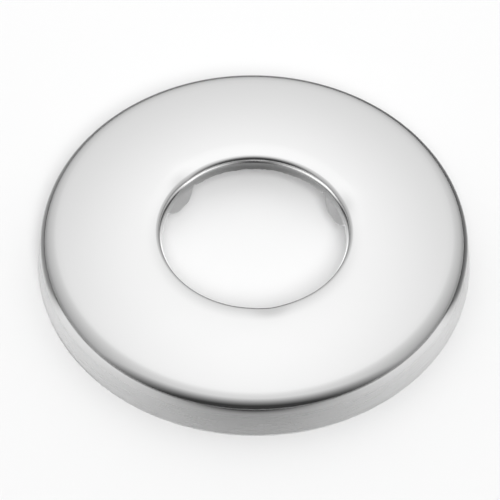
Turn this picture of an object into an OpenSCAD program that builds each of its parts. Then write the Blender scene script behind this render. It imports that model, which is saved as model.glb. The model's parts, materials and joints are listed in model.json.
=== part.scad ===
// Pipe rosette: a flat cover ring pressed from one round of stainless sheet.
// It slides along a pipe and hides the hole where the pipe enters a wall.
// Origin: centre of the foot plane, where the skirt meets the wall. +Z points out of the wall.
// Lengths are in millimetres and angles in degrees.

/* [Sheet] */
// Thickness of the sheet
sheet_t = 0.6; // [0.4:0.05:0.8]

/* [Outer form] */
// Diameter of the skirt where it meets the wall
outer_d = 80; // [70:1:100]
// Height of the highest ring of the face above the wall
face_h = 8.9; // [7.5:0.1:12]
// Lean of the skirt, inwards from the wall
skirt_lean = 6; // [1:0.5:10]
// Outside radius of the bend between face and skirt
corner_r = 3.2; // [2:0.1:4]

/* [Face] */
// Distance from the collar's wall out to the highest ring of the face
crest_out = 8.5; // [5:0.5:10]
// Crown radius of the face outside its highest ring
crown_r = 160; // [100:5:300]
// Crown radius of the face inside its highest ring
dip_r = 46; // [35:1:90]

/* [Collar] */
// Diameter of the pipe that the tongues grip
pipe_d = 32; // [26:0.5:36]
// Gap between the pipe and the collar's wall
pipe_gap = 1; // [0.5:0.1:1.5]
// Outside radius of the bend between face and collar
bend_r = 1.2; // [1:0.1:1.6]
// Depth of the collar's edge below the highest ring of the face
collar_depth = 3.3; // [3.1:0.1:4.5]

/* [Tongues] */
// Number of tongues round the collar
tongues = 3; // [2:1:6]
// Direction of the first tongue
first_at = 30; // [0:5:90]
// Width of a tongue where it leaves the collar
root_w = 7.8; // [6:0.2:9]
// Width of a tongue across its tip
tip_w = 5.2; // [3:0.2:5.8]
// Rounding of a tongue's tip corners
tip_r = 1.1; // [0.4:0.1:1.4]
// Height of a tongue from its root to its tip
tongue_h = 2.1; // [1.5:0.1:2.5]
// Width of the notch on each side of a tongue
notch_w = 0.8; // [0.4:0.1:1.2]
// Height of the notches above the collar's edge
notch_h = 0.6; // [0.4:0.1:0.8]

/* [Hidden] */
$fn = 180;
foot_r = outer_d / 2;
hole_r = pipe_d / 2 + pipe_gap;
crest_r = hole_r + crest_out;
crown_z = face_h - crown_r;
dip_z = face_h - dip_r;
edge_z = face_h - collar_depth;
root_z = edge_z + notch_h;
tip_z = root_z - tongue_h;
tongue_lean = atan(pipe_gap / tongue_h);
// Each round corner is this much prouder than tangent, so that it closes with its neighbours
seam = 0.0005;
// How far cutting shapes run past what they cut
past = 2;
// Centre of the outer corner: it touches the leaning skirt and the face's crown
skirt_k = tan(skirt_lean);
corner_a = foot_r - corner_r / cos(skirt_lean) - crest_r;
corner_b = -crown_z - corner_a * skirt_k;
corner_q = pow(crown_r - corner_r, 2) - pow(corner_a, 2) - pow(crown_z, 2);
corner_s = 1 + pow(skirt_k, 2);
corner_z = (sqrt(pow(corner_b, 2) + corner_s * corner_q) - corner_b) / corner_s;
corner_x = crest_r + corner_a - corner_z * skirt_k;
corner_turn = asin((corner_x - crest_r) / (crown_r - corner_r));
// Centre of the collar's bend: it touches the collar's wall and the inner face
bend_x = hole_r + bend_r;
bend_turn = asin((crest_r - bend_x) / (dip_r - bend_r));
bend_z = dip_z + (dip_r - bend_r) * cos(bend_turn);

// Stretch of the face between two radii, and all that lies under it
module face_stretch(from_r, to_r, radius, centre_z) {
    intersection() {
        translate([crest_r, centre_z]) circle(r = radius, $fn = 720);
        polygon([[from_r, -past], [to_r, -past], [to_r, face_h + past], [from_r, face_h + past]]);
    }
}

// Everything under the sheet's surface, taken at a depth into the sheet
module under_sheet(depth) {
    outer_r = corner_r - depth;
    inner_r = bend_r - depth;
    face_end = corner_x + outer_r * sin(corner_turn);
    face_start = bend_x - inner_r * sin(bend_turn);
    skirt_x = foot_r - depth / cos(skirt_lean);
    face_stretch(crest_r, face_end, crown_r - depth, crown_z);
    face_stretch(face_start, crest_r, dip_r - depth, dip_z);
    translate([corner_x, corner_z]) circle(r = outer_r + seam);
    translate([bend_x, bend_z]) circle(r = inner_r + seam);
    polygon([
        [crest_r, -past],
        [skirt_x + past * skirt_k, -past],
        [corner_x + outer_r * cos(skirt_lean), corner_z + outer_r * sin(skirt_lean)],
        [corner_x, corner_z],
        [crest_r, corner_z]
    ]);
    translate([hole_r + depth, -past]) square([crest_r - hole_r - depth, bend_z + past]);
}

// Section of the pressed sheet: skirt, corner, crowned face, bend and collar
module sheet_section() {
    difference() {
        under_sheet(0);
        under_sheet(sheet_t);
        translate([0, -2 * past]) square([foot_r + past, 2 * past]);
        square([hole_r + bend_r, edge_z]);
    }
}

// Places its children at each tongue, with their up along the pipe and their back outwards
module at_tongues() {
    for (i = [0 : tongues - 1])
        rotate([0, 0, first_at - 90 + i * 360 / tongues])
            translate([0, crest_r, 0])
                rotate([90, 0, 0])
                    linear_extrude(crest_r - hole_r + 4 * pipe_gap) children();
}

// What the notches and the tongue's own gap take out of the collar
module slot_outline() {
    side = (root_w + notch_w) / 2;
    translate([-side, 0]) square([2 * side, root_z]);
    translate([-side - notch_w / 2, 0]) square([2 * side + notch_w, root_z - notch_w / 2]);
    for (end = [-side, side]) translate([end, root_z - notch_w / 2]) circle(d = notch_w, $fn = 32);
}

// Outline of one tongue, seen from the pipe: its sides run on to the rounding of the tip
module tongue_outline() {
    low_z = tip_z - sheet_t * sin(tongue_lean);
    tip = [tip_w / 2 - tip_r, low_z + tip_r];
    root = [root_w / 2, root_z];
    side_at = atan2(root.y - tip.y, root.x - tip.x) - acos(tip_r / norm(root - tip));
    side_end = tip + tip_r * [cos(side_at), sin(side_at)];
    for (hand = [0, 1]) mirror([hand, 0]) {
        polygon([
            [-seam, low_z],
            [tip.x, low_z],
            tip,
            side_end,
            root,
            [root.x, root_z + notch_h / 2],
            [-seam, root_z + notch_h / 2]
        ]);
        translate(tip) circle(r = tip_r + seam, $fn = 32);
    }
}

// Section of the ring that the tongues are cut from: it leaves the collar at their root
// and leans in until its tip touches the pipe
module tongue_section() {
    across = sheet_t * cos(tongue_lean);
    down = sheet_t * sin(tongue_lean);
    polygon([
        [hole_r, root_z + notch_h / 2],
        [hole_r + sheet_t, root_z + notch_h / 2],
        [hole_r + sheet_t, root_z - sheet_t * tan(tongue_lean / 2)],
        [pipe_d / 2 + across, tip_z - down],
        [pipe_d / 2, tip_z],
        [hole_r, root_z]
    ]);
}

module rosette() {
    color("gainsboro") {
        difference() {
            rotate_extrude() sheet_section();
            at_tongues() slot_outline();
        }
        intersection() {
            rotate_extrude() tongue_section();
            at_tongues() tongue_outline();
        }
    }
}

rosette();
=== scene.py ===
import bpy
import json
import math
from mathutils import Matrix, Vector


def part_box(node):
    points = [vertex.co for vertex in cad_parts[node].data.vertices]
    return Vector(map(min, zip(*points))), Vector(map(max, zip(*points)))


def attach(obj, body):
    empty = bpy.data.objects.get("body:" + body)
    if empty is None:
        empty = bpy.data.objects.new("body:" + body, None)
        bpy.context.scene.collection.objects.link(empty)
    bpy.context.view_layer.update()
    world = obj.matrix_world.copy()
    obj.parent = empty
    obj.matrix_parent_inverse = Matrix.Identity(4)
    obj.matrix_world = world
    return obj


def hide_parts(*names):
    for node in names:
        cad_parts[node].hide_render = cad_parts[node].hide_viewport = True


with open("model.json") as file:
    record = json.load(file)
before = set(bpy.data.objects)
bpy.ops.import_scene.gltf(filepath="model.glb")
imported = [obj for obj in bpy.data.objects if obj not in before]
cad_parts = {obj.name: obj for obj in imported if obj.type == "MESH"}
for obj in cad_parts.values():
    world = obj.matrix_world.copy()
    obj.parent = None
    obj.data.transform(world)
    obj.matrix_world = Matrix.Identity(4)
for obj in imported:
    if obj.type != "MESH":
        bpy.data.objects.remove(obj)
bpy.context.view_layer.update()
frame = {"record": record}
mm = 0.001
lowCorner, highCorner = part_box("rosette")
mounts = {mount["name"]: mount["dims"] for mount in frame["record"]["mounts"]}
print("Frame loaded")


# A number in a node tree: sums and products of it add Math nodes
class Number:
    def __init__(self, tree, socket):
        self.tree = tree
        self.socket = socket

    def does(self, operation, *others):
        return mathNode(self.tree, operation, self, *others)

    def __add__(self, other):
        return mathNode(self.tree, "ADD", self, other)

    def __sub__(self, other):
        return mathNode(self.tree, "SUBTRACT", self, other)

    def __rsub__(self, other):
        return mathNode(self.tree, "SUBTRACT", other, self)

    def __mul__(self, other):
        return mathNode(self.tree, "MULTIPLY", self, other)

    def __truediv__(self, other):
        return mathNode(self.tree, "DIVIDE", self, other)

    def __rtruediv__(self, other):
        return mathNode(self.tree, "DIVIDE", other, self)

    __radd__ = __add__
    __rmul__ = __mul__


def connect(tree, value, socket):
    if isinstance(value, Number):
        tree.links.new(value.socket, socket)
    elif isinstance(value, bpy.types.NodeSocket):
        tree.links.new(value, socket)
    else:
        socket.default_value = value


def mathNode(tree, operation, *terms):
    node = tree.nodes.new("ShaderNodeMath")
    node.operation = operation
    for term, socket in zip(terms, node.inputs):
        connect(tree, term, socket)
    return Number(tree, node.outputs[0])


def addNode(tree, kind, inputs=None, **settings):
    node = tree.nodes.new(kind)
    for name, value in settings.items():
        setattr(node, name, value)
    for name, value in (inputs or {}).items():
        connect(tree, value, node.inputs[name])
    return node


def clamped(value, low=0.0, high=1.0):
    return value.does("MAXIMUM", low).does("MINIMUM", high)


def choose(isTrue, whenTrue, whenFalse):  # isTrue is a number, 0 or 1
    return isTrue * whenTrue + (1.0 - isTrue) * whenFalse


def eased(value, start, end):  # 0 before start, 1 after end, smooth between them
    step = clamped((value - start) / (end - start))
    return step * step * (3.0 - 2.0 * step)


def separated(tree, vector):
    parts = addNode(tree, "ShaderNodeSeparateXYZ", {"Vector": vector})
    return [Number(tree, socket) for socket in parts.outputs]


def combined(tree, x, y, z):
    return addNode(tree, "ShaderNodeCombineXYZ", {"X": x, "Y": y, "Z": z}).outputs[0]


def spreadNodes(tree, perColumn=12, stepX=190, stepY=170):
    for place, node in enumerate(tree.nodes):
        node.location = (place // perColumn * stepX, -(place % perColumn) * stepY)


# The pressed sheet, in metres and radians
sheet = {
    "thickness": 0.6 * mm,
    "footRadius": highCorner.x,
    "faceHeight": highCorner.z,
    "holeRadius": mounts["collar_hole"]["r_mm"] * mm,
    "gripRadius": mounts["tongue_grip"]["r_mm"] * mm,
    "skirtLean": math.radians(6),
    "cornerRadius": 3.2 * mm,   # outside of the bend between face and skirt
    "crestOut": 8.5 * mm,       # from the collar's wall out to the highest ring
    "crownRadius": 160 * mm,
    "dipRadius": 130 * mm,
    "dipTurn": math.radians(2),
    "lipRadius": 22 * mm,       # of the face's last stretch before the hole
    "bendRadius": 1.0 * mm,     # outside of the bend from the face down into the hole
    "bendEnd": math.radians(62),  # how steep the sheet is where that bend ends
    "throatRadius": 3.8 * mm,   # of the slower bend from there to the upright collar
    "collarDepth": 3.3 * mm,    # of the collar's edge below the highest ring
    "tongues": 3,
    "firstTongue": math.radians(30),
    "rootWidth": 7.8 * mm,
    "tipWidth": 5.2 * mm,
    "tipRound": 1.5 * mm,
    "tongueHeight": 2.1 * mm,
    "tongueBend": 1.0 * mm,     # radius where a tongue leaves the collar
    "notchWidth": 0.8 * mm,
    "notchFlat": 0.2 * mm,      # flat part at the top of a notch
    "notchHeight": 0.6 * mm,
    "edgeRound": 0.05 * mm,     # worn edges of the cut
    "sharpEdge": math.radians(50),
    "ragged": 0.3 * mm,         # how far the collar's sheared edge wanders
    "raggedTongue": 0.12 * mm,
    "wander": {"land": 0.06, "landFine": 0.33, "side": 0.9, "tip": 0.4},  # turns of those edges to a cell
    "puckers": [(0.26 * mm, 0.0), (0.3 * mm, -10.0), (0.22 * mm, 14.0)],  # depth, degrees off a tongue
    "puckerHalf": math.radians(9),
    "puckerReach": 2.4 * mm,
}
mergeDistance = 0.001 * mm
cells = {  # of the sheet's mesh, along its section and round it
    "skirt": 5, "corner": 12, "crown": 10, "dip": 6, "lip": 12, "bend": 14, "throat": 8, "collar": 1,
    "neck": 4, "tongue": 8, "landEdge": 2, "acrossTongue": 40, "acrossLand": 128,
}


def sectionMoves(size, rows):
    # The sheet's section from foot to collar: each move is a straight run,
    # or a bend that starts in the direction where the last move ended
    lean = size["skirtLean"]
    slope = math.tan(lean)
    crest = size["holeRadius"] + size["crestOut"]
    crownZ = size["faceHeight"] - size["crownRadius"]
    inner = size["crownRadius"] - size["cornerRadius"]
    reach = size["footRadius"] - size["cornerRadius"] / math.cos(lean) - crest
    half = -crownZ - reach * slope
    stretch = 1 + slope ** 2
    cornerZ = (math.sqrt(half ** 2 + stretch * (inner ** 2 - reach ** 2 - crownZ ** 2)) - half) / stretch
    crownTurn = math.asin((reach - cornerZ * slope) / inner)
    steep, flat = math.sin(size["bendEnd"]), math.cos(size["bendEnd"])
    dip = math.sin(size["dipTurn"])
    lipReach = size["crestOut"] - size["bendRadius"] * steep - size["throatRadius"] * (1 - steep)
    lipReach = lipReach - (size["dipRadius"] - size["lipRadius"]) * dip
    lipEnd = math.asin(lipReach / (size["lipRadius"] - size["bendRadius"]))
    throatDrop = size["dipRadius"] - (size["dipRadius"] - size["lipRadius"]) * math.cos(size["dipTurn"])
    throatDrop = throatDrop - (size["lipRadius"] - size["bendRadius"]) * math.cos(lipEnd)
    throatDrop = throatDrop + (size["throatRadius"] - size["bendRadius"]) * flat
    rootDrop = size["collarDepth"] - size["notchHeight"]
    return [
        ("skirt", rows["skirt"], cornerZ / math.cos(lean) + size["cornerRadius"] * slope, None),
        ("corner", rows["corner"], size["cornerRadius"], math.pi / 2 - lean - crownTurn),
        ("crown", rows["crown"], size["crownRadius"], crownTurn),
        ("dip", rows["dip"], size["dipRadius"], size["dipTurn"]),
        ("lip", rows["lip"], size["lipRadius"], lipEnd - size["dipTurn"]),
        ("bend", rows["bend"], size["bendRadius"], size["bendEnd"] - lipEnd),
        ("throat", rows["throat"], size["throatRadius"], math.pi / 2 - size["bendEnd"]),
        ("collar", rows["collar"], rootDrop - throatDrop, None),
    ]


def tongueTurn(size):
    gap = size["holeRadius"] - size["gripRadius"]
    height = size["tongueHeight"]
    root = math.sqrt(height ** 2 + gap * (gap - 2 * size["tongueBend"]))
    return 2 * math.atan(gap / (height + root))


moves = sectionMoves(sheet, cells)
turn = tongueTurn(sheet)
treeSizes = {  # the named inputs of the sheet's node tree
    "Foot Radius": sheet["footRadius"],
    "Skirt Lean": sheet["skirtLean"],
    "Hole Radius": sheet["holeRadius"],
    "Thickness": sheet["thickness"],
    "Tongues": sheet["tongues"],
    "First Tongue": sheet["firstTongue"],
    "Root Half": sheet["rootWidth"] / 2,
    "Tip Half": sheet["tipWidth"] / 2,
    "Tip Round": sheet["tipRound"],
    "Tongue Bend": sheet["tongueBend"],
    "Tongue Turn": turn,
    "Tongue Run": (sheet["tongueHeight"] - sheet["tongueBend"] * math.sin(turn)) / math.cos(turn),
    "Notch Flat": sheet["notchFlat"],
    "Notch Round": (sheet["notchWidth"] - sheet["notchFlat"]) / 2,
    "Notch Height": sheet["notchHeight"],
    "Ragged": sheet["ragged"],
    "Ragged Tongue": sheet["raggedTongue"],
    "Pucker Half": sheet["puckerHalf"],
    "Pucker Reach": sheet["puckerReach"],
    "Across Tongue": cells["acrossTongue"],
    "Across Land": cells["acrossLand"],
}
for name, rows, length, bend in moves:
    treeSizes[name.title() + (" Run" if bend is None else " Radius")] = length
    if bend is not None:
        treeSizes[name.title() + " Turn"] = bend


def runOffset(progress, run, heading):
    return progress * run * heading.does("COSINE"), progress * run * heading.does("SINE")


def bendOffset(radius, start, heading):
    across = radius * (heading.does("SINE") - start.does("SINE"))
    up = radius * (start.does("COSINE") - heading.does("COSINE"))
    return across, up


def uneven(tree, place):  # a number that wanders between about -1 and 1 along place
    inputs = {"W": place, "Scale": 1.0, "Detail": 2.0}
    noise = addNode(tree, "ShaderNodeTexNoise", inputs, noise_dimensions="1D")
    return (Number(tree, noise.outputs[0]) - 0.5) * 2.0


def pressedSheetTree():
    tree = bpy.data.node_groups.new("pressedSheet", "GeometryNodeTree")
    tree.interface.new_socket("Geometry", in_out="OUTPUT", socket_type="NodeSocketGeometry")
    for name, value in treeSizes.items():
        kind = "NodeSocketInt" if isinstance(value, int) else "NodeSocketFloat"
        tree.interface.new_socket(name, in_out="INPUT", socket_type=kind).default_value = value
    for name in ("Polished", "Mill Side", "Cut Edge"):
        tree.interface.new_socket(name, in_out="INPUT", socket_type="NodeSocketMaterial")
    given = tree.nodes.new("NodeGroupInput").outputs
    size = {name: Number(tree, given[name]) for name in treeSizes}

    # A flat grid whose cells are one unit: x counts columns round the ring, y rows along the section
    rootRow = sum(rows for name, rows, length, bend in moves)
    rowCount = rootRow + cells["neck"] + cells["tongue"]
    perTongue = size["Across Tongue"] + size["Across Land"] + 2.0
    columnCount = perTongue * size["Tongues"]
    flat = addNode(tree, "GeometryNodeMeshGrid", {
        "Size X": columnCount,
        "Size Y": rowCount,
        "Vertices X": columnCount + 1.0,
        "Vertices Y": rowCount + 1,
    })
    x, y, z = separated(tree, addNode(tree, "GeometryNodeInputPosition").outputs[0])
    gridX = x + columnCount / 2.0
    gridY = y + rowCount / 2.0

    # Cells that the notches and the gaps between the tongues take away
    inPart = gridX.does("MODULO", perTongue)
    pastTongue = inPart.does("GREATER_THAN", size["Across Tongue"])
    landEnd = perTongue - 1.0
    onLand = pastTongue * (inPart - 1.0).does("GREATER_THAN", size["Across Tongue"])
    onLand = onLand * inPart.does("LESS_THAN", landEnd)
    lowRow = choose(onLand, rootRow + cells["neck"] + cells["landEdge"], rootRow)
    cutAway = pastTongue * gridY.does("GREATER_THAN", lowRow)
    kept = addNode(tree, "GeometryNodeDeleteGeometry", {
        "Geometry": flat.outputs["Mesh"],
        "Selection": cutAway.socket,
    }, domain="FACE")

    # The section: every move adds its offset, as far as the row has come along it
    column = gridX.does("ROUND")
    row = gridY.does("ROUND")
    heading = size["Skirt Lean"] + math.pi / 2
    radius, height = size["Foot Radius"], 0.0
    done = 0
    for name, rows, length, bend in moves:
        progress = clamped((row - done) / rows)
        if bend is None:
            across, up = runOffset(progress, size[name.title() + " Run"], heading)
        else:
            start, heading = heading, heading + progress * size[name.title() + " Turn"]
            across, up = bendOffset(size[name.title() + " Radius"], start, heading)
        radius, height = radius + across, height + up
        done = done + rows

    # Below the tongues' root, notches part the tongues from the land between them
    neck = clamped((row - rootRow) / cells["neck"]) * (math.pi / 2)
    notchDeep = size["Notch Round"] * (1.0 - neck.does("COSINE"))
    notchWide = size["Notch Round"] * neck.does("SINE")
    below = row - (rootRow + cells["neck"])
    tongueLong = size["Tongue Bend"] * size["Tongue Turn"] + size["Tongue Run"]
    alongTongue = clamped(below / cells["tongue"])
    alongLand = clamped(below / cells["landEdge"])
    number = (column / perTongue).does("FLOOR")
    inPart = column - number * perTongue
    isTongue = inPart.does("LESS_THAN", size["Across Tongue"] + 0.5)

    # Tongue: a strip that narrows to a tip, where nested squares at each corner become nested rings
    rootEdge = size["Root Half"] + size["Notch Round"]
    half = rootEdge - notchWide - (size["Root Half"] - size["Tip Half"]) * alongTongue
    side = inPart / size["Across Tongue"] * 2.0 - 1.0
    deep = notchDeep + (tongueLong - size["Notch Round"]) * alongTongue
    cornerX = clamped((side.does("ABSOLUTE") * half - half) / size["Tip Round"] + 1.0)
    cornerY = clamped((deep - tongueLong) / size["Tip Round"] + 1.0)
    isWide = cornerX.does("GREATER_THAN", cornerY)
    more, less = cornerX.does("MAXIMUM", cornerY), cornerX.does("MINIMUM", cornerY)
    onRing, offRing = (more * more - less * less / 2.0).does("SQRT"), less * math.sqrt(0.5)
    lossX = cornerX - choose(isWide, onRing, offRing)
    lossY = cornerY - choose(isWide, offRing, onRing)
    wide = side * half - side.does("SIGN") * size["Tip Round"] * lossX
    deep = deep - size["Tip Round"] * lossY
    nearSide = side.does("ABSOLUTE").does("POWER", 8.0) * alongTongue
    nearTip = alongTongue.does("POWER", 6.0)
    turns = sheet["wander"]
    sideWander = uneven(tree, row * turns["side"] + side.does("SIGN") * rowCount)
    wide = wide + nearSide * size["Ragged Tongue"] * sideWander
    deep = deep + nearTip * size["Ragged Tongue"] * uneven(tree, column * turns["tip"])
    bendLong = size["Tongue Bend"] * size["Tongue Turn"]
    bent = clamped(deep / bendLong) * size["Tongue Turn"]
    straight = (deep - bendLong).does("MAXIMUM", 0.0)
    inward = size["Tongue Bend"] * (1.0 - bent.does("COSINE")) + straight * bent.does("SINE")
    down = size["Tongue Bend"] * bent.does("SINE") + straight * bent.does("COSINE")
    tongueAngle = (wide / (size["Hole Radius"] - inward)).does("ARCSINE")

    # Land: the collar's edge from notch to notch
    landStart = ((rootEdge + size["Notch Flat"] + notchWide) / size["Hole Radius"]).does("ARCSINE")
    partAngle = 2 * math.pi / size["Tongues"]
    acrossLand = (inPart - size["Across Tongue"] - 1.0) / size["Across Land"]
    landAngle = landStart + acrossLand * (partAngle - landStart * 2.0)
    wander = uneven(tree, column * turns["land"]) + uneven(tree, column * turns["landFine"])
    landRise = size["Notch Height"] - size["Notch Round"] + size["Ragged"] * wander
    landDown = notchDeep + landRise * alongLand

    angle = choose(isTongue, tongueAngle, landAngle) + number * partAngle

    # Puckers: each tongue pulled the face down beside it when it was bent
    nearest = (angle / partAngle + 0.5).does("FLOOR")
    puckerDepth, puckerShift = 0.0, 0.0
    for place, (depth, shift) in enumerate(sheet["puckers"]):
        isThis = nearest.does("MODULO", size["Tongues"]).does("COMPARE", float(place), 0.5)
        puckerDepth = isThis * depth + puckerDepth
        puckerShift = isThis * math.radians(shift) + puckerShift
    off = (angle - nearest * partAngle - puckerShift) / size["Pucker Half"]
    out = (radius - size["Hole Radius"]) / size["Pucker Reach"]
    pucker = ((off * off + out * out) * -1.0).does("EXPONENT") * puckerDepth

    angle = angle + size["First Tongue"]
    radius = radius - isTongue * inward
    height = height - choose(isTongue, down, landDown) - pucker
    place = combined(tree, radius * angle.does("COSINE"), radius * angle.does("SINE"), height)
    pressed = addNode(tree, "GeometryNodeSetPosition", {
        "Geometry": kept.outputs[0],
        "Position": place,
    })
    ring = addNode(tree, "GeometryNodeMergeByDistance", {
        "Geometry": pressed.outputs[0],
        "Distance": mergeDistance,
    })

    # Thickness: the outer surface with its faces pushed inwards for the back, closed at the cut edges
    pushed = addNode(tree, "GeometryNodeExtrudeMesh", {
        "Mesh": ring.outputs[0],
        "Offset Scale": size["Thickness"] * -1.0,
        "Individual": False,
    }, mode="FACES")
    turned = addNode(tree, "GeometryNodeFlipFaces", {"Mesh": pushed.outputs["Mesh"]})
    both = tree.nodes.new("GeometryNodeJoinGeometry")
    tree.links.new(ring.outputs[0], both.inputs[0])
    tree.links.new(turned.outputs[0], both.inputs[0])
    whole = addNode(tree, "GeometryNodeMergeByDistance", {
        "Geometry": both.outputs[0],
        "Distance": mergeDistance,
    }).outputs[0]
    x, y, z = separated(tree, addNode(tree, "GeometryNodeInputPosition").outputs[0])
    onGround = combined(tree, x, y, z.does("MAXIMUM", 0.0))
    whole = addNode(tree, "GeometryNodeSetPosition", {"Geometry": whole, "Position": onGround}).outputs[0]
    for name, chosen in (("Polished", None), ("Mill Side", "Top"), ("Cut Edge", "Side")):
        if name == "Cut Edge":
            whole = addNode(tree, "GeometryNodeRealizeInstances", {"Geometry": whole}).outputs[0]
        finish = addNode(tree, "GeometryNodeSetMaterial", {"Geometry": whole, "Material": given[name]})
        if chosen:
            tree.links.new(pushed.outputs[chosen], finish.inputs["Selection"])
        whole = finish.outputs[0]
    tree.links.new(whole, tree.nodes.new("NodeGroupOutput").inputs[0])
    spreadNodes(tree)
    return tree


def materialTree(name):
    material = bpy.data.materials.new(name)
    material.use_nodes = True
    tree = material.node_tree
    return material, tree, tree.nodes["Principled BSDF"]


def metalTree(name, colour):
    material, tree, shader = materialTree(name)
    shader.inputs["Base Color"].default_value = (colour, colour, colour, 1)
    shader.inputs["Metallic"].default_value = 1
    return material, tree, shader


def noiseAt(tree, place, detail=2.0, roughness=0.5):
    noise = addNode(tree, "ShaderNodeTexNoise", {
        "Vector": place, "Scale": 1.0, "Detail": detail, "Roughness": roughness,
    })
    return Number(tree, noise.outputs[0])


def scaledPlace(tree, sizes):  # noise of about these sizes, in metres, along x, y and z
    x, y, z = separated(tree, addNode(tree, "ShaderNodeTexCoord").outputs["Object"])
    return combined(tree, x / sizes[0], y / sizes[1], z / sizes[2])


def ringPlace(tree, around, high):  # noise drawn out round the piece: around in radians, high in metres
    x, y, z = separated(tree, addNode(tree, "ShaderNodeTexCoord").outputs["Object"])
    radius = (x * x + y * y).does("SQRT")
    return combined(tree, x / radius / around, y / radius / around, z / high)


def bumped(tree, shader, layers):  # each layer is a height between 0 and 1 and how far it stands up
    normal = None
    for height, distance in layers:
        bump = addNode(tree, "ShaderNodeBump", {"Height": height, "Strength": 1.0, "Distance": distance})
        if normal:
            tree.links.new(normal, bump.inputs["Normal"])
        normal = bump.outputs[0]
    tree.links.new(normal, shader.inputs["Normal"])


def grey(tree, shader, level):
    tree.links.new(combined(tree, level, level, level), shader.inputs["Base Color"])


# The outside: polished face, brushed skirt, and a collar and tongues that the polish did not reach; the
# tongues get painted light, a lighter grey than the collar wall
outside = {
    "face": 0.78,
    "faceRough": 0.13,
    "cornerRough": 0.14,
    "skirt": 0.76,
    "skirtRough": 0.3,
    "matt": 0.8,
    # painted light: the tongues are a lighter grey than the collar wall above them, for the light they
    # catch
    "tongue": 0.86,
    "paintedTongueLightTop": 6.2 * mm,
    "mattRough": 0.5,
    "mattTop": 7.25 * mm,
    "mattBlend": 0.12 * mm,
    "mattReach": 18.0 * mm,
    "outerFrom": 30 * mm,
    "cornerTop": 8.4 * mm,
    "skirtTop": 5.6 * mm,
    "brushedFrom": 4.4 * mm,
    "brushedTo": 6.2 * mm,
    "grainLine": 0.16 * mm,
    "grainAlong": 0.22,     # in radians round the skirt
    "grainRough": 0.25,
    "grainShade": 0.14,
    "dragAlong": 0.012,     # in radians round the collar
    "dragHeight": 1.5 * mm,
    "dragRough": 0.2,
    "dragShade": 0.08,
    "speck": 0.25 * mm,
    "speckShade": 0.08,
    "cloud": 6 * mm,
    "cloudRough": 0.06,
    "cloudShade": 0.05,
    "wave": 13 * mm,
    "waveHeight": 0.010 * mm,
    "lineHeight": 0.004 * mm,
    "mattHeight": 0.006 * mm,
}


def outsideFinish(size):
    material, tree, shader = metalTree("polishedSteel", size["face"])
    x, y, z = separated(tree, addNode(tree, "ShaderNodeTexCoord").outputs["Object"])
    radius = (x * x + y * y).does("SQRT")
    inCollar = 1.0 - eased(z, size["mattTop"] - size["mattBlend"], size["mattTop"] + size["mattBlend"])
    inCollar = inCollar * radius.does("LESS_THAN", size["mattReach"])
    outer = radius.does("GREATER_THAN", size["outerFrom"])
    onCorner = outer * (1.0 - eased(z, size["skirtTop"], size["cornerTop"]))
    onSkirt = outer * (1.0 - eased(z, size["brushedFrom"], size["brushedTo"]))

    lines = noiseAt(tree, ringPlace(tree, size["grainAlong"], size["grainLine"]), 3.0, 0.6)
    cloud = noiseAt(tree, scaledPlace(tree, [size["cloud"]] * 3), 3.0)
    wave = noiseAt(tree, scaledPlace(tree, [size["wave"]] * 3), 1.0)
    drag = noiseAt(tree, ringPlace(tree, size["dragAlong"], size["dragHeight"]), 2.0)
    speck = noiseAt(tree, scaledPlace(tree, [size["speck"]] * 3), 2.0)

    rough = (cloud - 0.5) * size["cloudRough"] + size["faceRough"]
    rough = rough + onCorner * (size["cornerRough"] - size["faceRough"])
    grain = (lines - 0.5) * size["grainRough"]
    rough = rough + onSkirt * (grain + (size["skirtRough"] - size["cornerRough"]))
    rough = choose(inCollar, (drag - 0.5) * size["dragRough"] + size["mattRough"], rough)
    connect(tree, rough, shader.inputs["Roughness"])
    brushed = (lines - 0.5) * size["grainShade"] + (cloud - 0.5) * size["cloudShade"]
    level = onSkirt * (brushed + (size["skirt"] - size["face"])) + size["face"]
    # Painted light: below the tongues' top the collar is painted a lighter grey than its wall
    paintedTongueLight = 1.0 - eased(z, size["paintedTongueLightTop"] - size["mattBlend"], size["paintedTongueLightTop"] + size["mattBlend"])
    matt = paintedTongueLight * (size["tongue"] - size["matt"]) + size["matt"]
    marks = (drag - 0.5) * size["dragShade"] + (speck - 0.5) * size["speckShade"]
    level = choose(inCollar, marks + matt, level)
    grey(tree, shader, level)
    bumped(tree, shader, [
        (wave * (1.0 - inCollar), size["waveHeight"]),
        (lines * onSkirt, size["lineHeight"]),
        ((drag + speck) * inCollar, size["mattHeight"]),
    ])
    spreadNodes(tree)
    return material


# The inside keeps the rolled finish of the sheet, drawn out along x
inside = {
    "level": 0.66,
    "rough": 0.36,
    "line": 0.18 * mm,
    "along": 9 * mm,
    "lineHeight": 0.002 * mm,
    "lineShade": 0.1,
    "lineRough": 0.2,
    "cloud": 8 * mm,
    "cloudShade": 0.1,
    "cloudRough": 0.12,
}


def insideFinish(size):
    material, tree, shader = metalTree("rolledSteel", size["level"])
    lines = noiseAt(tree, scaledPlace(tree, [size["along"], size["line"], size["line"]]), 3.0, 0.6)
    cloud = noiseAt(tree, scaledPlace(tree, [size["cloud"]] * 3), 3.0)
    shade = (lines - 0.5) * size["lineShade"] + (cloud - 0.5) * size["cloudShade"]
    grey(tree, shader, shade + size["level"])
    rough = (lines - 0.5) * size["lineRough"] + (cloud - 0.5) * size["cloudRough"] + size["rough"]
    connect(tree, rough, shader.inputs["Roughness"])
    bumped(tree, shader, [(lines, size["lineHeight"])])
    spreadNodes(tree)
    return material


# Sheared edges: dull, with fine lines across the sheet and darker torn patches
sheared = {
    "level": 0.52,
    "rough": 0.45,
    "line": 0.12 * mm,
    "lineLong": 0.72 * mm,
    "lineHeight": 0.02 * mm,
    "lineShade": 0.2,
    "lineRough": 0.2,
    "torn": 0.7 * mm,
    "tornStart": 0.5,       # of the noise that makes the torn patches
    "tornFull": 0.68,
    "tornShade": 0.3,
    "tornRough": 0.25,
}


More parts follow.
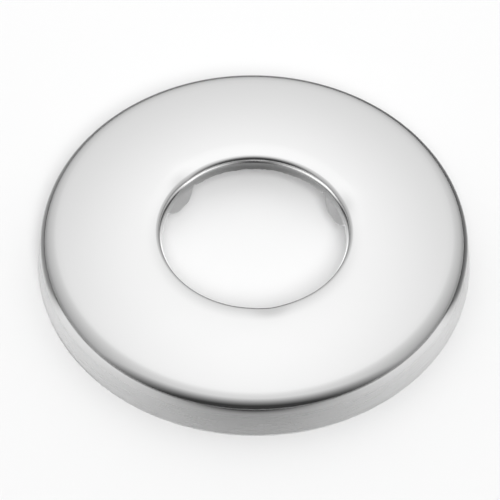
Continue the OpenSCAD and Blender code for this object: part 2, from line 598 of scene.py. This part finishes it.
def shearedFinish(size):
    material, tree, shader = metalTree("shearedSteel", size["level"])
    lines = noiseAt(tree, scaledPlace(tree, [size["line"], size["line"], size["lineLong"]]), 2.0)
    patches = noiseAt(tree, scaledPlace(tree, [size["torn"]] * 3), 3.0)
    torn = eased(patches, size["tornStart"], size["tornFull"])
    grey(tree, shader, (lines - 0.5) * size["lineShade"] + size["level"] - torn * size["tornShade"])
    rough = torn * size["tornRough"] + (lines - 0.5) * size["lineRough"] + size["rough"]
    connect(tree, rough, shader.inputs["Roughness"])
    bumped(tree, shader, [(lines, size["lineHeight"]), (torn, size["lineHeight"])])
    spreadNodes(tree)
    return material


polished = outsideFinish(outside)
millSide = insideFinish(inside)
cutEdge = shearedFinish(sheared)
print("Finishes made")


def makeRosette():
    tree = pressedSheetTree()
    mesh = bpy.data.meshes.new("pressed_rosette")
    piece = bpy.data.objects.new("pressed_rosette", mesh)
    bpy.context.scene.collection.objects.link(piece)
    press = piece.modifiers.new("pressedSheet", "NODES")
    press.node_group = tree
    inputs = {item.name: item.identifier for item in tree.interface.items_tree if item.in_out == "INPUT"}
    for name, value in treeSizes.items():
        press[inputs[name]] = value
    for name, material in (("Polished", polished), ("Mill Side", millSide), ("Cut Edge", cutEdge)):
        press[inputs[name]] = material
    rounded = piece.modifiers.new("edgeRound", "BEVEL")
    rounded.width = sheet["edgeRound"]
    rounded.segments = 2
    rounded.limit_method = "ANGLE"
    rounded.angle_limit = sheet["sharpEdge"]
    rounded.use_clamp_overlap = False
    rounded.harden_normals = True
    evaluated = piece.evaluated_get(bpy.context.evaluated_depsgraph_get())
    made = bpy.data.meshes.new_from_object(evaluated)
    piece.modifiers.clear()
    piece.data = made
    made.name = "pressed_rosette"
    made.polygons.foreach_set("use_smooth", [True] * len(made.polygons))
    return piece


rosette = makeRosette()
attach(rosette, "root")
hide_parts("rosette")
print("Rosette pressed:", len(rosette.data.vertices), "points,", len(rosette.data.polygons), "faces")


# The camera stands where the photograph was taken from
camera = {
    "azimuth": math.radians(-86.25),
    "elevation": math.radians(52.1),
    "distance": 640 * mm,
    "aim": Vector((-0.9, 2.07, 0)) * mm,
    "roll": math.radians(0.86),
    "fieldOfView": math.radians(8.29),
    "sensorWidth": 36,
    "nearest": 0.02,
    "farthest": 30,
}


def makeCamera(size):
    away = Vector((
        math.cos(size["azimuth"]) * math.cos(size["elevation"]),
        math.sin(size["azimuth"]) * math.cos(size["elevation"]),
        math.sin(size["elevation"]),
    ))
    eye = away * size["distance"]
    toCamera = (eye - size["aim"]).normalized()
    right = Vector((0, 0, 1)).cross(toCamera).normalized()
    up = toCamera.cross(right)
    turn = Matrix((right, up, toCamera)).transposed() @ Matrix.Rotation(size["roll"], 3, "Z")
    data = bpy.data.cameras.new("camera")
    data.sensor_width = size["sensorWidth"]
    data.angle = size["fieldOfView"]
    data.clip_start = size["nearest"]
    data.clip_end = size["farthest"]
    item = bpy.data.objects.new("camera", data)
    item.matrix_world = Matrix.Translation(eye) @ turn.to_4x4()
    bpy.context.scene.collection.objects.link(item)
    bpy.context.scene.camera = item


makeCamera(camera)

# Studio: a pale floor in a bright room that is darker behind the camera, with a softbox above and behind
studio = {
    "floorSize": 8.0,
    "floorColour": 0.85,
    "floorRough": 0.9,
    "floorGloss": 0.1,
    "roomLevel": 0.84,
    "frontStart": 1.24,     # the room darkens towards the camera's side
    "frontFall": 1.32,
    "rearChange": -0.09,
    "sideChange": -0.36,
    "horizonChange": -0.38,
    "horizonReach": 0.22,
    "leastLevel": 0.045,
    "backdrop": 1.0,
}
softbox = {
    "height": 170 * mm,
    "back": 92 * mm,
    "halfWidth": 68 * mm,   # where its brightness has dropped to a third
    "halfLength": 100 * mm,
    "size": 0.7,
    "strength": 0.42,
}
lamp = {"strength": 2.0, "elevation": math.radians(50), "turn": math.radians(8), "angle": math.radians(30)}

# A sheet on the floor that only reflections show. It paints shade into the floor's reflection in a wedge
# towards the camera, at the back and far off, and paints a glow on the ground under the part. Along it,
# the camera's side counts up.
paintedReflectionCard = {
    "size": 0.6,
    "height": 0.3 * mm,
    "holeReach": 38 * mm,   # radius of the painted glow on the ground under the part
    "paintedHoleGlow": 1.8,
    "holeLevel": 0.04,      # share of the glow that the wedge leaves
    "holeRearStart": -2 * mm,
    "holeRearFull": -13 * mm,
    "holeRearLevel": 0.38,
    "inner": 41 * mm,       # distances away from the part count from this radius
    "half": 12.5 * mm,      # half width of the wedge at the middle of the hole
    "spread": 0.4,
    "leastHalf": 3 * mm,
    "least": 0.07,
    "nearPart": 0.52,
    "fade": 13 * mm,
    "rearStart": 18 * mm,
    "rearFull": 6 * mm,
    "rearLevel": 0.3,
    "rightLevel": 0.18,
    "rightFull": 40 * mm,
    "rearFade": 3.5 * mm,
    "farStart": 28 * mm,
    "farEnd": 65 * mm,
    "farLevel": 0.25,
}


def placeFlat(name, size, along, height, azimuth):
    bpy.ops.mesh.primitive_plane_add(size=size)
    item = bpy.context.object
    item.name = name
    item.data.transform(Matrix.Rotation(azimuth, 4, "Z") @ Matrix.Translation((along, 0, height)))
    return item


def turnedPlace(tree, azimuth):
    place = addNode(tree, "ShaderNodeTexCoord").outputs["Object"]
    x, y, z = separated(tree, place)
    along = x * math.cos(azimuth) + y * math.sin(azimuth)
    across = y * math.cos(azimuth) - x * math.sin(azimuth)
    return along, across


def makeFloor(size):
    floor = placeFlat("floor", size["floorSize"], 0, 0, 0)
    material, tree, shader = materialTree("paleFloor")
    colour = size["floorColour"]
    shader.inputs["Base Color"].default_value = (colour, colour, colour, 1)
    shader.inputs["Roughness"].default_value = size["floorRough"]
    shader.inputs["Specular IOR Level"].default_value = size["floorGloss"]
    floor.data.materials.append(material)


def clearMaterial(name):
    material = bpy.data.materials.new(name)
    material.use_nodes = True
    tree = material.node_tree
    tree.nodes.clear()
    clear = addNode(tree, "ShaderNodeBsdfTransparent")
    return material, tree, clear, tree.nodes.new("ShaderNodeOutputMaterial")


def addedUp(tree, first, second):
    both = tree.nodes.new("ShaderNodeAddShader")
    tree.links.new(first.outputs[0], both.inputs[0])
    tree.links.new(second.outputs[0], both.inputs[1])
    return both


def makeSoftbox(size, azimuth):
    box = placeFlat("softbox", size["size"], size["back"], size["height"], azimuth)
    material, tree, clear, output = clearMaterial("softboxCloth")
    along, across = turnedPlace(tree, azimuth)
    wide = across / size["halfWidth"]
    deep = (along - size["back"]) / size["halfLength"]
    level = ((wide * wide + deep * deep) * -1.0).does("EXPONENT") * size["strength"]
    light = addNode(tree, "ShaderNodeEmission", {"Strength": level})
    tree.links.new(addedUp(tree, light, clear).outputs[0], output.inputs["Surface"])
    box.data.materials.append(material)
    box.visible_camera = False


# Painted shade and painted glow, seen only in reflections: the sheet's colour darkens what the metal
# reflects of the floor, and its emission paints a glow under the part
def makePaintedReflectionCard(size, azimuth):
    card = placeFlat("paintedReflectionCard", size["size"], 0, size["height"], azimuth)
    material, tree, clear, output = clearMaterial("paintedReflectionCard")
    along, across = turnedPlace(tree, azimuth)
    distance = (along * along + across * across).does("SQRT")
    away = (distance - size["inner"]).does("MAXIMUM", 0.0)
    off = across / (along * size["spread"] + size["half"]).does("MAXIMUM", size["leastHalf"])
    wedge = (off * off * -1.0).does("EXPONENT")
    passing = (away / -size["fade"]).does("EXPONENT") * size["nearPart"] + size["least"]
    behind = eased(along, size["rearStart"], size["rearFull"])
    behind = behind * (1.0 - (away / -size["rearFade"]).does("EXPONENT"))
    rearLevel = choose(eased(across, 0.0, size["rightFull"]), size["rightLevel"], size["rearLevel"])
    far = eased(away, size["farStart"], size["farEnd"])
    level = 1.0 - wedge * along.does("GREATER_THAN", 0.0) * (1.0 - passing)
    level = level * (1.0 - behind * (1.0 - rearLevel)) * (1.0 - far * (1.0 - size["farLevel"]))
    inside = distance.does("LESS_THAN", size["holeReach"])
    level = level * (1.0 - inside)
    holeRear = eased(along, size["holeRearStart"], size["holeRearFull"])
    # painted glow under the part, dimmed in the wedge and towards the back
    paintedGlow = inside * (1.0 - wedge * (1.0 - size["holeLevel"])) * size["paintedHoleGlow"]
    paintedGlow = paintedGlow * (1.0 - holeRear * (1.0 - size["holeRearLevel"]))
    tree.links.new(combined(tree, level, level, level), clear.inputs["Color"])
    light = addNode(tree, "ShaderNodeEmission", {"Strength": paintedGlow})
    tree.links.new(addedUp(tree, light, clear).outputs[0], output.inputs["Surface"])
    card.data.materials.append(material)
    card.visible_camera = False
    card.visible_diffuse = False
    card.visible_shadow = False


def makeWorld(size, rearAzimuth):
    world = bpy.data.worlds.new("studio")
    world.use_nodes = True
    bpy.context.scene.world = world
    tree = world.node_tree
    tree.nodes.clear()
    x, y, z = separated(tree, addNode(tree, "ShaderNodeTexCoord").outputs["Generated"])
    rear = x * math.cos(rearAzimuth) + y * math.sin(rearAzimuth)
    side = y * math.cos(rearAzimuth) - x * math.sin(rearAzimuth)
    front = rear.does("MINIMUM", 0.0)
    behind = rear.does("MAXIMUM", 0.0)
    level = (front * size["frontFall"] + size["frontStart"]).does("MINIMUM", size["roomLevel"])
    level = level + behind * behind * size["rearChange"] + side * side * size["sideChange"]
    high = z / size["horizonReach"]
    level = level * ((high * high * -1.0).does("EXPONENT") * size["horizonChange"] + 1.0)
    level = level.does("MAXIMUM", size["leastLevel"])
    seen = Number(tree, addNode(tree, "ShaderNodeLightPath").outputs["Is Camera Ray"])
    level = choose(seen, size["backdrop"], level)
    colour = combined(tree, level, level, level)
    light = addNode(tree, "ShaderNodeBackground", {"Color": colour, "Strength": 1.0})
    tree.links.new(light.outputs[0], tree.nodes.new("ShaderNodeOutputWorld").inputs["Surface"])
    spreadNodes(tree)


def makeLamp(size, azimuth):
    light = bpy.data.lights.new("softLight", "SUN")
    light.energy = size["strength"]
    light.angle = size["angle"]
    item = bpy.data.objects.new("softLight", light)
    item.rotation_euler = (0, math.pi / 2 - size["elevation"], azimuth + size["turn"])
    item.visible_glossy = False  # the metal shows the room and the softbox, not this lamp
    bpy.context.scene.collection.objects.link(item)


frontAzimuth = camera["azimuth"]
rearAzimuth = frontAzimuth + math.pi
makeFloor(studio)
makeWorld(studio, rearAzimuth)
makeSoftbox(softbox, rearAzimuth)
makePaintedReflectionCard(paintedReflectionCard, frontAzimuth)
makeLamp(lamp, frontAzimuth)
bpy.context.scene.view_settings.view_transform = "Standard"
print("Studio set")
